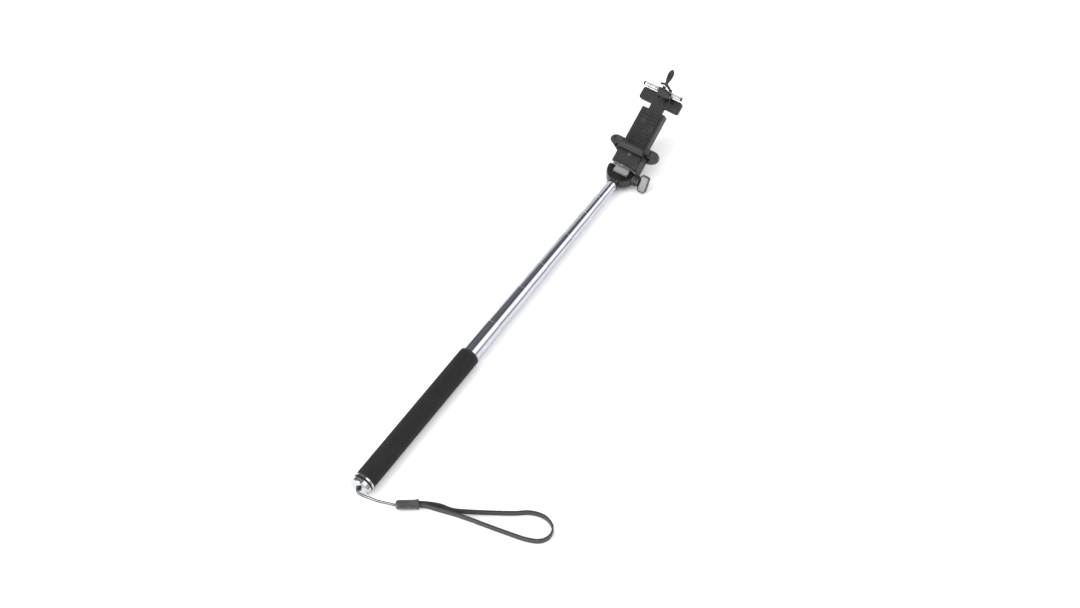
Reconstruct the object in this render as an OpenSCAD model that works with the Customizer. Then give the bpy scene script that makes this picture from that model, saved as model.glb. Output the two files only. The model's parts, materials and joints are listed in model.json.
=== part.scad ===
// Telescopic selfie stick with a tilting, swivelling spring clamp for a phone.
// Frame: the stick lies along X, from the grip at -X to the phone clamp at +X, and rests on
// the plane Z = 0. The origin is below the middle of the whole object. Millimetres.
// The clamp is drawn in its own frame at the tilt pivot: X up the phone, Y along the phone's
// long side, Z out of the screen.

/* [Grip] */
// Length of the rubber grip
grip_len = 150; // [130:5:170]
// Outer diameter of the grip
grip_d = 18.7; // [18:0.1:22]
// Number of grooves round the grip
grip_grooves = 36; // [24:4:48]
// Length of the chrome end cap
cap_len = 8; // [7:0.5:12]

/* [Telescopic tubes] */
// Diameter of the widest tube, the one inside the grip
tube_d = 16; // [15:0.1:16.4]
// How much each tube is narrower than the one before
tube_step = 0.9; // [0.9:0.05:0.95]
// Wall of the tubes
tube_wall = 0.3; // [0.25:0.01:0.3]
// Length of tube 1 with the part inside the grip
tube_1_len = 182; // [160:2:182]
// Length of tube 2; each tube after it is shorter by tube_shorter
tube_2_len = 172; // [150:2:172]
// How much shorter each tube is than the one before
tube_shorter = 7; // [6:0.5:8]
// Length of tube 1 that shows in front of the grip
shown_1 = 36; // [10:1:60]
// Length of tube 2 that shows, as extended here
shown_2 = 46; // [5:0.5:100]
// Length of tube 3 that shows, as extended here
shown_3 = 32; // [5:0.5:100]
// Length of tube 4 that shows, as extended here
shown_4 = 41.5; // [5:0.5:100]
// Length of tube 5 that shows, as extended here
shown_5 = 31; // [5:0.5:100]
// Length of tube 6 that shows, as extended here
shown_6 = 23; // [5:0.5:100]
// Length of tube 7 that shows, as extended here
shown_7 = 23; // [5:0.5:100]

/* [Tilt head] */
// Radius of the head disc
disc_r = 14.2; // [13.8:0.1:16]
// Thickness of the head disc
disc_h = 9.8; // [9.6:0.1:10]
// Width of the slot for the tongue
slot_w = 15.4; // [15.2:0.1:15.6]
// Angle of the wing knob's wing above the stick
wing_angle = 58; // [0:5:180]
// Tilt of the clamp away from the stick's line, in degrees
tilt = 30; // [0:5:60]

/* [Phone clamp] */
// Width of the clamp's block
block_w = 26; // [24:0.5:28]
// Width across the lower jaw's lobes
lobe_w = 52; // [44:1:56]
// Width of the phone that the jaws hold
phone_w = 58.6; // [54:0.2:64]
// Thickness of the phone that the jaws hold
phone_t = 7.6; // [6:0.2:8]

/* [Hidden] */
$fn = 64;
eps = 0.01;

// Fits
slide_gap = 0.03;    // bush to tube bore, on the radius
lip_gap = 0.05;      // rolled tube mouth to the next tube, on the radius
snug = 0.02;         // pieces of one body that are pressed together
rest_gap = 0.05;     // pieces that touch face to face and turn

// Tubes
shown = [shown_1, shown_2, shown_3, shown_4, shown_5, shown_6, shown_7];
lip_len = 2.5;
bush_len = 8;
bush_t = 0.45;
hem_len = 0.8;       // rolled rear end that keeps the bush on its tube
tube_socket = 4.3;   // how far tube 7 goes into the head
function od(k) = tube_d - (k - 1) * tube_step;
function bore_r(k) = od(k) / 2 - tube_wall;
function neck_r(k) = bore_r(k - 1) - slide_gap - bush_t - snug;
function sum_to(v, n) = n < 0 ? 0 : v[n] + sum_to(v, n - 1);
function tube_len(k) = k == 1 ? tube_1_len : tube_2_len - (k - 2) * tube_shorter;

// Places along the stick, measured from the tilt pivot
head_x = -17.3;                                    // where tube 7 enters the head
mouth_x = head_x - sum_to(shown, 6);               // front end of the grip
grip_x = mouth_x - grip_len;                       // rear end of the grip
cap_x = grip_x - cap_len;                          // rear face of the end cap
lug_len = 1.5;
function front_x(k) = mouth_x + sum_to(shown, k - 1) + (k == 7 ? tube_socket : 0);

// Tilt head
ear_r = disc_h / 2;
bolt_r = 1.95;
bolt_hole_r = 2.02;
washer_t = 0.44;
tongue_w = slot_w - 1;
slot_x = -5.6;       // rear wall of the slot
flat_y = 13.3;       // flat on the knob's side of the head
pin_x = -15.2;
pin_r = 1;
platform_s = [5.2, 6.4];
platform_r = 12;
stud_r = 3.15;       // 1/4 inch stud
knob_end = 28.5;     // reach of the wing from the stick's axis

// Phone clamp, along X up the phone
block_s = [7, 20.4];
block_n = [-13, 7];
spine_n = [-4.4, 5.6];
spine_w = 24;
spine_top = 66;
ledge_s = 23.9;                                    // where the phone's lower edge rests
grip_s = ledge_s + phone_w - 0.1;                  // where the phone's upper edge is
back_n = 6.8;                                      // where the phone's back rests
front_n = back_n + phone_t;                        // the phone's front face
channel_w = 14.3;
channel_n = [-2.1, 2.05];
bar_w = 14;
bar_n = [-1.9, 1.9];
bar_s = 24;          // lower end of the slider's bar
stop_s = 58;
axle_s = grip_s + 3.4;
axle_n = 8.5;
axle_r = 1.25;
axle_y = [-19.5, 19.8];
jaw_y = [-8, 3.5];    // sides of the upper jaw
jaw_lip_y = [-10.6, 2.1];
ledge_y = -1.4;      // middle of the lower jaw
hub_r = 2.6;
ear_t = 1;
ear_y = [jaw_y[0] - 0.35, jaw_y[1] + 0.35];
paddle_tip_s = 108;
paddle_t = 3;
lip_t = 1.7;

// The whole object's middle is the origin
reach_front = paddle_tip_s * cos(tilt) - (axle_n - paddle_t / 2) * sin(tilt);
pivot_x = (lug_len - cap_x - reach_front) / 2;
pivot_y = (knob_end - lobe_w / 2) / 2;
axis_z = grip_d / 2;

// Wrist strap: route points in the object's frame
cord_d = 0.9;
cord_1_route = [[-245, 1.75, 9.35], [-248, 1.75, 9.35], [-251, 1.5, 9.5], [-252.5, -1.5, 9],
    [-251.5, -6, 7], [-249.5, -11, 5], [-247.5, -15.5, 3], [-245.5, -20, 2], [-244, -24, 2],
    [-243.5, -27.5, 3], [-242.5, -31, 4.5], [-240, -34.5, 4.5]];
cord_2_route = [[-245, 0.75, 9.35], [-248, 0.75, 9.35], [-250.5, 0.5, 9.5], [-251, -2.5, 8.5],
    [-249.5, -6.5, 6.5], [-247.5, -11, 4.5], [-246, -15.5, 3], [-244, -20, 2], [-242.5, -24, 2],
    [-242, -27.5, 3], [-241.5, -30.5, 4.5], [-239, -34, 4.5]];
sleeve_from = [-242, -31];
sleeve_angle = -55;  // the way that the sleeve points on the table, from +X
sleeve_len = 19;
sleeve_z = 4.5;
band_w = 6.8;
band_t = 1.3;
band_route = [[-232.5, -43.5, 4.5], [-230, -46.5, 4.5], [-226, -53, 4], [-222, -62, 3.5],
    [-220, -72, 3.5], [-215, -82, 3.5], [-205, -99, 3.5], [-195, -115, 3.5], [-187, -126, 3.5],
    [-184, -138, 3.5], [-188, -148, 3.5], [-196, -151, 3.5], [-204, -147, 3.5], [-209, -137, 3.5],
    [-213, -120, 3.5], [-217, -100, 3.5], [-221, -80, 3.5], [-226, -62, 3.5], [-229, -52, 4],
    [-232, -46.5, 4.5], [-233.5, -44.5, 4.5]];

// ---------- placing ----------

// Draws with Z along the stick, starting x in front of the pivot
module along(x) translate([pivot_x + x, pivot_y, axis_z]) rotate([0, 90, 0]) children();

// Draws at the tilt pivot, in the object's own directions
module at_pivot() translate([pivot_x, pivot_y, axis_z]) children();

// Draws in the clamp's frame
module in_clamp() at_pivot() rotate([0, -tilt, 0]) children();

// Draws with Z along +Y
module across() rotate([-90, 0, 0]) children();

// Draws a side view of the clamp, X up the phone and Y out of the screen, w wide
module side_view(w) translate([0, w / 2, 0]) rotate([90, 0, 0]) linear_extrude(w) children();

// ---------- outlines ----------

// Half section of a ring whose corner at the far end is rounded
module ring_section(r_in, r_out, len, f) {
    translate([r_in, 0]) square([r_out - f - r_in, len]);
    translate([r_in, 0]) square([r_out - r_in, len - f]);
    intersection() {
        translate([r_out - f, len - f]) circle(f, $fn = 32);
        translate([r_in, 0]) square([r_out - r_in, len]);
    }
}

// Half section of a disc of thickness h, with both outer edges rounded
module disc_section(r, h, f) {
    translate([0, -h / 2]) square([r - f, h]);
    translate([0, f - h / 2]) square([r, h - 2 * f]);
    for (s = [-1, 1]) translate([r - f, s * (h / 2 - f)]) circle(f, $fn = 32);
}

// Rectangle from a to b with round corners
module round_box(a, b, r) {
    translate([a[0] + r, a[1]]) square([b[0] - a[0] - 2 * r, b[1] - a[1]]);
    translate([a[0], a[1] + r]) square([b[0] - a[0], b[1] - a[1] - 2 * r]);
    for (x = [a[0] + r, b[0] - r], y = [a[1] + r, b[1] - r]) translate([x, y]) circle(r, $fn = 32);
}

// ---------- cords ----------

// A point of a smooth curve through p, at place t counted in points
function spline_at(p, t) = let (i = min(floor(t), len(p) - 2), u = t - i,
        a = p[max(i - 1, 0)], b = p[i], c = p[i + 1], d = p[min(i + 2, len(p) - 1)])
    0.5 * (2 * b + (c - a) * u + (2 * a - 5 * b + 4 * c - d) * u * u
        + (3 * b - a - 3 * c + d) * u * u * u);
function unit(v) = v / norm(v);

// A closed solid that carries the outline profile, points [across, up], along the route
module sweep(route, profile, rings) {
    n = len(profile);
    line = [for (i = [0 : rings]) spline_at(route, i * (len(route) - 1) / rings)];
    ways = [for (i = [0 : rings]) unit(line[min(i + 1, rings)] - line[max(i - 1, 0)])];
    points = [for (i = [0 : rings]) let (side = unit(cross(ways[i], [0, 0, 1])),
            up = cross(side, ways[i])) for (q = profile) line[i] + q[0] * side + q[1] * up];
    walls = [for (i = [0 : rings - 1], j = [0 : n - 1]) let (k = (j + 1) % n)
        [i * n + j, (i + 1) * n + j, (i + 1) * n + k, i * n + k]];
    polyhedron(points, concat(walls,
        [[for (j = [0 : n - 1]) j]], [[for (j = [n - 1 : -1 : 0]) rings * n + j]]), convexity = 8);
}

module cord(route) sweep(route,
    [for (j = [0 : 7]) cord_d / 2 * [cos(45 * j), sin(45 * j)]], 26);

// ---------- handle ----------

module grip() {
    collar = 3;
    bore = tube_d / 2 + 0.06;
    groove_r = 0.6;
    color([0.16, 0.16, 0.17]) along(grip_x) {
        translate([0, 0, 1]) linear_extrude(grip_len - collar - 1) difference() {
            circle(grip_d / 2);
            circle(bore);
            for (i = [0 : grip_grooves - 1]) rotate(i * 360 / grip_grooves)
                translate([grip_d / 2 + 0.25, 0]) circle(groove_r, $fn = 24);
        }
        rotate_extrude() translate([bore, 0]) square([grip_d / 2 - bore, 1]);
        translate([0, 0, grip_len - collar]) rotate_extrude()
            ring_section(bore, grip_d / 2, collar, 1.2);
    }
}

module end_cap() {
    wall_end = 2;
    color([0.86, 0.87, 0.9]) along(cap_x) rotate_extrude() difference() {
        union() {
            mirror([0, 1]) translate([0, -2]) ring_section(0, grip_d / 2, 2, 1.2);
            translate([0, 1.9]) square([grip_d / 2, cap_len - 1.9]);
        }
        square([3, wall_end + 1]);
        translate([0, wall_end]) square([7.75, cap_len]);
        translate([grip_d / 2 - 0.5, cap_len - 2.6]) square([1, 0.9]);
        translate([grip_d / 2 - 0.25, 2.4]) square([1, 0.5]);
    }
}

module end_plug() {
    flange_end = tube_1_rear() - cap_x - 0.1;
    color([0.1, 0.1, 0.1]) along(cap_x) rotate_extrude() difference() {
        union() {
            translate([0, 2 + snug]) square([7.7, flange_end - 2]);
            translate([0, 3]) square([bore_r(1) - snug, flange_end + 5]);
        }
        square([3.4, 13]);
    }
}

// Rear end of tube 1, from the pivot
function tube_1_rear() = front_x(1) - tube_1_len;

module strap_anchor() {
    color([0.07, 0.07, 0.07]) along(cap_x) rotate_extrude() difference() {
        union() {
            translate([0, -lug_len]) square([1.9, lug_len + 1]);
            translate([0, 0]) square([3 - snug, 2 + snug]);
            translate([0, 2 + snug]) square([3.35, 1.4]);
        }
        translate([0, -lug_len - 1]) square([1.15, 8]);
    }
}

// ---------- telescopic tubes ----------

module tube(k) {
    r = od(k) / 2;
    bore = bore_r(k);
    long = tube_len(k);
    lip = k < 7 ? od(k + 1) / 2 + lip_gap : bore;
    neck = k > 1 ? neck_r(k) : r;
    shoulder = hem_len + bush_len + 0.2;
    f = 0.15;
    outside = k > 1
        ? [[r - f, 0], [r, f], [r, hem_len], [neck, hem_len], [neck, shoulder], [r, shoulder + 0.6]]
        : [[r, 0]];
    inside = k > 1
        ? [[bore, shoulder + 0.9], [neck - tube_wall, shoulder + 0.3], [neck - tube_wall, 0]]
        : [[bore, 0]];
    mouth = [[r, long - f], [r - f, long], [lip + f / 2, long], [lip, long - f],
        [lip, long - lip_len], [bore, long - lip_len - 0.4]];
    color([0.84, 0.85, 0.88]) difference() {
        along(front_x(k) - long) rotate_extrude() polygon(concat(outside, mouth, inside));
        if (k == 7) at_pivot() translate([pin_x, 0, 0]) cylinder(30, pin_r + snug, pin_r + snug, true);
    }
}

// Split friction bush in the neck at the rear of tube k
module slide_bush(k) {
    inner = neck_r(k) + snug;
    color([0.8, 0.62, 0.3]) along(front_x(k) - tube_len(k) + hem_len + 0.1)
        rotate([0, 0, 10]) rotate_extrude(angle = 345) translate([inner, 0])
            square([bush_t, bush_len]);
}

module tube_1() tube(1);
module tube_2() tube(2);
module tube_3() tube(3);
module tube_4() tube(4);
module tube_5() tube(5);
module tube_6() tube(6);
module tube_7() tube(7);
module slide_bush_2() slide_bush(2);
module slide_bush_3() slide_bush(3);
module slide_bush_4() slide_bush(4);
module slide_bush_5() slide_bush(5);
module slide_bush_6() slide_bush(6);
module slide_bush_7() slide_bush(7);

// ---------- tilt head ----------

module head_disc() {
    boss_r = 5.9;
    boss_front = -12.6;
    stem_r = bore_r(7) - snug;
    color([0.1, 0.1, 0.105]) at_pivot() difference() {
        union() {
            // rear half of the disc
            intersection() {
                rotate_extrude() disc_section(disc_r, disc_h, 0.9);
                translate([-20, -20, -10]) cube([20, 40, 20]);
            }
            // ears, rounded about the pivot
            intersection() {
                cylinder(20, disc_r, disc_r, true);
                across() cylinder(40, ear_r, ear_r, true);
            }
            // socket for tube 7
            translate([head_x, 0, 0]) rotate([0, 90, 0]) cylinder(boss_front - head_x, boss_r, boss_r);
        }
        translate([head_x - 1, 0, 0]) rotate([0, 90, 0])
            cylinder(tube_socket + 1 + rest_gap, od(7) / 2 + snug, od(7) / 2 + snug);
        translate([slot_x, -slot_w / 2, -10]) cube([20, slot_w, 20]);
        across() cylinder(40, bolt_hole_r, bolt_hole_r, true);
        // hexagonal pocket for the bolt's head
        translate([0, 11, 0]) across() cylinder(6, 4.05, 4.05, $fn = 6);
        // flat for the knob
        translate([0, -flat_y - 5, 0]) across() cylinder(5, 6.4, 6.4);
        translate([pin_x, 0, 0]) cylinder(20, pin_r + snug, pin_r + snug, true);
        // window round the pin
        translate([pin_x - 1.3, -1.7, 5.45]) cube([2.6, 3.4, 2]);
    }
    // core that fills tube 7
    color([0.1, 0.1, 0.105]) at_pivot() difference() {
        translate([head_x - 7, 0, 0]) rotate([0, 90, 0]) cylinder(12, stem_r, stem_r);
        translate([pin_x, 0, 0]) cylinder(20, pin_r + snug, pin_r + snug, true);
    }
}

module head_pin() color([0.62, 0.45, 0.28]) at_pivot() translate([pin_x, 0, 0])
    cylinder(11, pin_r, pin_r, true);

module pivot_bolt() color([0.6, 0.6, 0.62]) at_pivot() {
    translate([0, -19, 0]) across() cylinder(31, bolt_r, bolt_r);
    translate([0, 11.02, 0]) across() cylinder(2.7, 4, 4, $fn = 6);
}

module friction_washers() color([0.85, 0.84, 0.78]) at_pivot() for (s = [-1, 1])
    translate([0, s * (tongue_w / 2 + 0.25), 0]) across() difference() {
        cylinder(washer_t, 4.6, 4.6, true);
        cylinder(2, 2.1, 2.1, true);
    }

module wing_knob() {
    base = flat_y + 0.15;
    collar_end = 20;
    wing_t = 3;
    wing_half = 8.25;
    color([0.12, 0.12, 0.125]) at_pivot() rotate([0, -wing_angle, 0]) {
        // stepped round collar
        rotate([90, 0, 0]) rotate_extrude() difference() {
            union() {
                translate([0, base]) square([5.9, 1.7]);
                translate([0, base]) square([5.5, 4]);
                translate([0, base]) square([5.1, collar_end - base]);
            }
            for (y = [15.6, 17.9]) translate([4.8, y]) square([2, 0.35]);
            translate([0, base - 1]) square([3.2, 19.25 - (base - 1)]);
        }
        // wing
        translate([0, 0, -wing_t / 2]) linear_extrude(wing_t) difference() {
            union() {
                round_box([-wing_half, -knob_end], [wing_half, -19.7], 2.4);
                translate([-wing_half, -23]) square([2 * wing_half, 2.2]);
            }
            translate([-2.4, -19.6]) square([4.8, 1]);
        }
    }
}

module knob_insert() color([0.78, 0.6, 0.28]) at_pivot() rotate([90, 0, 0]) translate([0, 0, flat_y + 0.2])
    difference() {
        cylinder(5.6, 3.2 - snug, 3.2 - snug);
        translate([0, 0, -1]) cylinder(8, 2, 2);
    }

module tongue() color([0.2, 0.2, 0.21]) in_clamp() difference() {
    union() {
        across() cylinder(tongue_w, ear_r, ear_r, true);
        translate([0, -tongue_w / 2, -ear_r]) cube([platform_s[0] + 0.1, tongue_w, 2 * ear_r]);
        translate([platform_s[0], 0, 0]) rotate([0, 90, 0])
            cylinder(platform_s[1] - platform_s[0], platform_r, platform_r);
    }
    across() cylinder(40, bolt_hole_r, bolt_hole_r, true);
    translate([2.6 - snug, 0, 0]) rotate([0, 90, 0]) cylinder(2 + 2 * snug, 4.1, 4.1, $fn = 6);
    translate([3, 0, 0]) rotate([0, 90, 0]) cylinder(10, stud_r + snug, stud_r + snug);
}

module mount_stud() color([0.75, 0.76, 0.78]) in_clamp() translate([2.6, 0, 0]) rotate([0, 90, 0]) {
    cylinder(2, 4.06, 4.06, $fn = 6);
    cylinder(11.2, stud_r, stud_r);
    translate([0, 0, 11.2]) cylinder(0.8, stud_r, stud_r - 0.7);
}

module pad_washer() color([0.08, 0.08, 0.08]) in_clamp() translate([platform_s[1] + snug, 0, 0])
    rotate([0, 90, 0]) difference() {
        cylinder(block_s[0] - platform_s[1] - rest_gap - snug, 11.6, 11.6);
        translate([0, 0, -1]) cylinder(3, stud_r + 0.1, stud_r + 0.1);
    }

// ---------- phone clamp ----------

module clamp_body() color([0.11, 0.11, 0.115]) in_clamp() difference() {
    union() {
        // block over the tongue
        translate([block_s[0], 0, 0]) rotate([0, 90, 0]) linear_extrude(block_s[1] - block_s[0])
            round_box([-block_n[1], -block_w / 2], [-block_n[0], block_w / 2], 1.4);
        // spine behind the phone
        translate([block_s[1] - 1, -spine_w / 2, spine_n[0]])
            cube([spine_top - block_s[1] + 1, spine_w, spine_n[1] - spine_n[0]]);
    }
    // bore for the stud and seat of the threaded insert
    translate([block_s[0] - 1, 0, 0]) rotate([0, 90, 0]) cylinder(10, stud_r + 0.15, stud_r + 0.15);
    translate([8, 0, 0]) rotate([0, 90, 0]) cylinder(7.5, 5, 5);
    // channel for the slider and recess for the cover
    translate([block_s[1] - 1.8, -channel_w / 2, channel_n[0] - eps])
        cube([60, channel_w, channel_n[1] - channel_n[0] + eps]);
    translate([block_s[1] - 1.4, -10.65, -10]) cube([60, 21.3, 10 + channel_n[0]]);
    // room for the detent leaf
    translate([32, -3.3, channel_n[1] - eps]) cube([22, 6.6, 0.9]);
    for (s = [24, 60], y = [-8.6, 8.6]) translate([s, y, -5]) cylinder(8.6, 0.9, 0.9, $fn = 32);
    // front screw
    translate([18.6, 0, 2]) cylinder(10, 0.9, 0.9, $fn = 32);
    translate([18.6, 0, 6.2]) cylinder(10, 1.7, 1.7, $fn = 32);
    // moulded recess in the front face
    translate([9.4, -9, 6.6]) linear_extrude(2) round_box([0, 0], [3.2, 18], 0.8);
}

module thread_insert() color([0.78, 0.6, 0.28]) in_clamp() translate([8.1, 0, 0])
    rotate([0, 90, 0]) difference() {
        cylinder(7, 5 - snug, 5 - snug);
        translate([0, 0, -1]) cylinder(9, stud_r + 0.05, stud_r + 0.05);
    }

module back_cover() {
    plate_n = [spine_n[0], channel_n[0] - snug];
    color([0.13, 0.13, 0.135]) in_clamp() difference() {
        translate([block_s[1] - 1.35, -10.6, plate_n[0]])
            cube([spine_top - block_s[1] + 1.35, 21.2, plate_n[1] - plate_n[0]]);
        for (s = [24, 60], y = [-8.6, 8.6]) translate([s, y, -6]) {
            cylinder(8, 1.05, 1.05, $fn = 32);
            cylinder(2.6, 1.7, 1.7, $fn = 32);
        }
        translate([stop_s, 0, -6]) cylinder(8, 1.52, 1.52, $fn = 32);
        // shallow panel
        translate([28, -6, plate_n[0] - 1]) linear_extrude(1.4) round_box([0, 0], [27, 12], 2);
    }
}

module cover_screws() color([0.55, 0.55, 0.57]) in_clamp()
    for (s = [24, 60], y = [-8.6, 8.6]) translate([s, y, -4.3]) difference() {
        union() {
            cylinder(7.4, 0.88, 0.88, $fn = 32);
            cylinder(0.85, 1.6, 1.6, $fn = 32);
        }
        translate([-0.25, -1.1, -1]) cube([0.5, 2.2, 1.4]);
        translate([-1.1, -0.25, -1]) cube([2.2, 0.5, 1.4]);
    }

// Pin in the cover that runs in the slider's slot and stops it at both ends
module stop_screw() color([0.55, 0.55, 0.57]) in_clamp() translate([stop_s, 0, -5]) difference() {
    union() {
        cylinder(5.9, 1.5, 1.5, $fn = 32);
        cylinder(0.58, 2.4, 2.4, $fn = 32);
    }
    translate([-0.3, -1.8, -1]) cube([0.6, 3.6, 1.3]);
}

// Bowed leaf that presses on the slider's face
module detent_leaf() {
    leaf_t = 0.25;
    rise = 0.5;
    steps = 16;
    function arch(i, t) = [33 + 20 * i / steps, 2.05 + t + 0.05 + rise * pow(2 * i / steps - 1, 2)];
    color([0.7, 0.7, 0.72]) in_clamp() side_view(6)
        polygon(concat([for (i = [0 : steps]) arch(i, 0)], [for (i = [steps : -1 : 0]) arch(i, leaf_t)]));
}

module lower_jaw() {
    tray_s = [20.5, 23];
    lip_n = front_n + 0.3;
    half = block_w / 2 + 0.05;
    right = ledge_y - lobe_w / 2;
    left = ledge_y + lobe_w / 2;
    color([0.115, 0.115, 0.12]) in_clamp() difference() {
        union() {
            // plate with two round lobes, seen along the phone's front
            translate([0, 0, 2.2]) linear_extrude(back_n - 2.2)
                polygon([[17.6, -5], [17.6, right + 10], [18.2, right + 7.4], [19.6, right + 3.9],
                    [21.4, right + 1.5], [23.6, right + 0.2], [25.4, right], [27.4, right + 0.4],
                    [29.2, right + 1.6], [30.5, right + 3.6], [31, right + 6], [31, left - 6],
                    [30.5, left - 3.6], [29.2, left - 1.6], [27.4, left - 0.4], [25.4, left],
                    [24, left - 0.5], [22.6, left - 1.8], [19.2, left - 8.4], [17.6, left - 10.6],
                    [17.6, 5]]);
            // tray under the phone
            translate([tray_s[0], ledge_y, 0]) rotate([90, 0, 90]) linear_extrude(tray_s[1] - tray_s[0])
                polygon([[-16, 5.65], [-13.3, lip_n + lip_t], [13.3, lip_n + lip_t], [16, 5.65]]);
            // lip in front of the phone
            translate([0, 0, lip_n]) linear_extrude(lip_t)
                round_box([tray_s[0] + 0.4, ledge_y - 13], [26.5, ledge_y + 13], 1.6);
            // bead along the front of the lip
            translate([24.6, ledge_y, lip_n + lip_t - 0.3]) across() cylinder(23, 0.6, 0.6, true, $fn = 32);
        }
        // room for the block, the spine and the pad on it
        translate([0, -half, -20]) cube([block_s[1] + 0.05, 2 * half, 60]);
        translate([0, -spine_w / 2 - 0.05, -20]) cube([60, spine_w + 0.1, 20 + spine_n[1] + 0.05]);
        translate([26.5, -spine_w / 2 - 0.05, 0]) cube([60, spine_w + 0.1, back_n + 1]);
        // moulded pockets in the front of the lobes
        translate([18.8, right + 6.7, 3.4]) linear_extrude(10) round_box([0, 0], [4, 3.2], 1);
        translate([20.4, left - 9.8, 3.4]) linear_extrude(10) round_box([0, 0], [2.3, 2.4], 0.8);
        translate([24.6, right + 3.4, 5.6]) linear_extrude(10) round_box([0, 0], [4.6, 7], 1.6);
        translate([24.6, left - 10.4, 5.6]) linear_extrude(10) round_box([0, 0], [4.6, 7], 1.6);
    }
}

module lower_jaw_pad() color([0.05, 0.05, 0.05]) in_clamp() translate([23.02, ledge_y, 0])
    rotate([90, 0, 90]) difference() {
        linear_extrude(ledge_s - 23.02) round_box([-12.5, back_n + 0.1], [12.5, front_n + 0.2], 0.8);
        for (i = [-5 : 5]) translate([i * 2.2, 0, ledge_s - 23.02]) rotate([-90, 0, 0])
            cylinder(40, 0.35, 0.35, true, $fn = 24);
    }

module jaw_screw() color([0.5, 0.5, 0.52]) in_clamp() translate([18.6, 0, 2.2]) difference() {
    union() {
        cylinder(4.2, 0.88, 0.88, $fn = 32);
        translate([0, 0, 4.05]) cylinder(0.9, 1.65, 1.65, $fn = 32);
    }
    translate([-0.25, -1, 4.6]) cube([0.5, 2, 1]);
    translate([-1, -0.25, 4.6]) cube([2, 0.5, 1]);
}

module back_pad() color([0.07, 0.07, 0.07]) in_clamp() difference() {
    translate([0, 0, spine_n[1] + snug]) linear_extrude(back_n - spine_n[1] - snug)
        round_box([27, -9.5], [64, 9.5], 2);
    for (i = [0 : 8]) translate([31.5 + 3.5 * i, 0, back_n + 0.1]) across()
        cylinder(40, 0.45, 0.45, true, $fn = 24);
}

// ---------- sliding upper jaw ----------

module slider() {
    head_s = [72, 84];
    color([0.12, 0.12, 0.125]) in_clamp() difference() {
        union() {
            // flat bar in the channel
            translate([0, 0, bar_n[0]]) linear_extrude(bar_n[1] - bar_n[0])
                round_box([bar_s, -bar_w / 2], [head_s[1] - 3, bar_w / 2], 1);
            // head behind the phone's upper edge
            translate([0, 0, bar_n[0]]) linear_extrude(bar_n[1] - bar_n[0] + 0.2)
                round_box([head_s[0], -21], [head_s[1], 21], 2.5);
            // ears that hold the axle
            for (y = [ear_y[0] - ear_t, ear_y[1]]) translate([0, y + ear_t / 2, 0]) side_view(ear_t) {
                translate([axle_s, axle_n]) circle(2.4);
                polygon([[77, 1], [77, 2], [axle_s - 2.4, 6.4], [axle_s - 2.4, axle_n],
                    [axle_s + 2.4, axle_n], [axle_s + 1.4, 4], [head_s[1] - 0.1, 1]]);
            }
        }
        // slot that the stop pin runs in
        translate([0, 0, -5]) linear_extrude(10)
            round_box([stop_s - 25 - 1.6, -1.65], [stop_s + 5 + 1.6, 1.65], 1.64);
        translate([axle_s, 0, axle_n]) across() cylinder(60, axle_r + snug, axle_r + snug, true);
        // grooves for the leaf
        for (i = [0 : 7]) translate([29 + 4 * i, 0, bar_n[1] + 0.35]) across()
            cylinder(60, 0.5, 0.5, true, $fn = 24);
    }
}

module jaw_axle() color([0.8, 0.81, 0.84]) in_clamp() translate([axle_s, axle_y[0], axle_n])
    across() cylinder(axle_y[1] - axle_y[0], axle_r, axle_r);

module axle_caps() color([0.06, 0.06, 0.06]) in_clamp() for (end = [0, 1])
    translate([axle_s, axle_y[end], axle_n]) across() mirror([0, 0, 1 - end])
        translate([0, 0, -0.7]) rotate_extrude() difference() {
            ring_section(0, 1.9, 1.6, 0.6);
            square([axle_r + snug, 0.72]);
        }

// One straight piece of wire, with a ball a little thicker than the wire at its far end
module wire(a, b, r) {
    d = b - a;
    translate(a) rotate([0, acos(d[2] / norm(d)), atan2(d[1], d[0])]) cylinder(norm(d), r, r, $fn = 24);
    translate(b) sphere(1.15 * r, $fn = 24);
}

// Double torsion spring: two close-wound coils, a bridge over the jaw and two legs
module jaw_spring() {
    wire_r = 0.4;
    coil_r = 1.8;
    coils = [[5, 15], [-18.5, 10]];  // start along Y and number of turns
    pitch = 0.88;
    // [up, out] from the axle's line, at each Y
    bridge = [[0, coil_r, 5.4], [0.4, 3.2, 5.3], [2.1, 3.6, 4.4], [3.8, 3.7, 2.8], [4.5, 3.7, 1.1],
        [4.3, 3.7, -0.6], [3, 3.7, -2.9], [1.4, 3.6, -5.2], [0.6, 3.3, -7.4], [0.2, 3, -10.1],
        [0, coil_r, -10.2]];
    leg_right = [[1.7, -0.6, -18.1], [0.6, -3.4, -18.2], [-0.4, -5.6, -18.9], [-0.9, -10.4, -19.9],
        [-1.6, -11.2, -20], [-7, -11.2, -20]];
    leg_left = [[1.7, -0.6, 17.7], [0.6, -3.4, 17.9], [-0.4, -5.6, 18.3], [-0.9, -10.4, 18.8],
        [-1.6, -11.2, 18.9], [-7, -11.2, 18.9]];
    function place(p) = [axle_s + p[0], p[2], axle_n + p[1]];
    color([0.85, 0.86, 0.88]) in_clamp() {
        for (c = coils) translate([axle_s, c[0], axle_n]) across() rotate_extrude() {
            translate([coil_r - 0.15, wire_r]) square([0.3, (c[1] - 1) * pitch]);
            for (i = [0 : c[1] - 1]) translate([coil_r, wire_r + i * pitch]) circle(wire_r, $fn = 24);
        }
        for (line = [bridge, leg_right, leg_left], i = [0 : len(line) - 2])
            wire(place(line[i]), place(line[i + 1]), wire_r);
    }
}

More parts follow.
